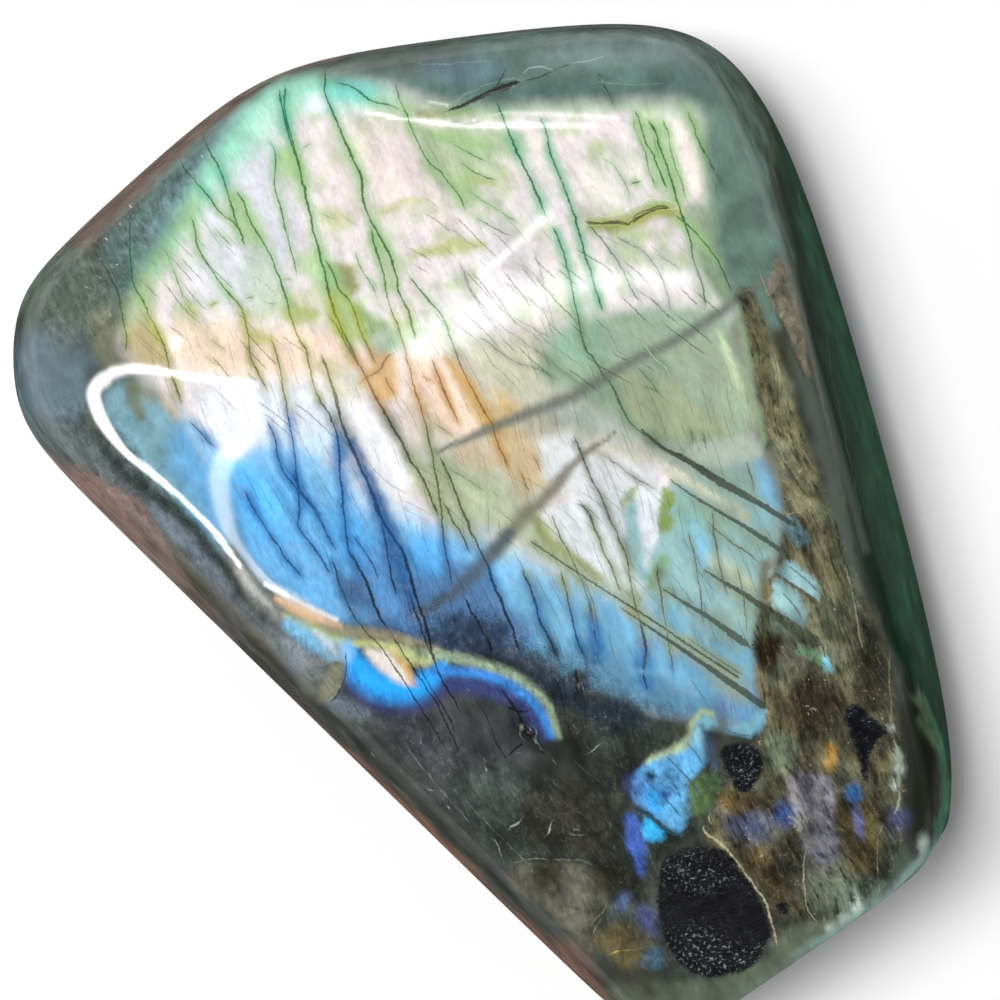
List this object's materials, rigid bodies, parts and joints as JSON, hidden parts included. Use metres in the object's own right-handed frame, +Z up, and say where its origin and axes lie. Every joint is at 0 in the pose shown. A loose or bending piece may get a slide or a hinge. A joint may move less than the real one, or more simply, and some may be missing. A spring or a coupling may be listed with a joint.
{
  "type": "labradorite freeform",
  "caption": "Polished labradorite freeform, a blunt wedge of soft facets with a flat back to lie on and a flat sawn foot; blue, gold and silver flash on the front.",
  "frame": {"origin": "on the surface that the stone lies on, under the middle of its bounding box", "axes": "+Z up out of the flashing front face, +Y towards the wide end, +X towards the long steep side; the sawn foot looks along +X and -Y"},
  "size_m": [0.1028, 0.1112, 0.0412],
  "materials": {
    "labradorite": "polished to a gloss, with dark cleavage cracks, blue, gold and silver flash on the front, and brown and black inclusions"
  },
  "bodies": {
    "root": {"stone": "labradorite"}
  },
  "joints": []
}
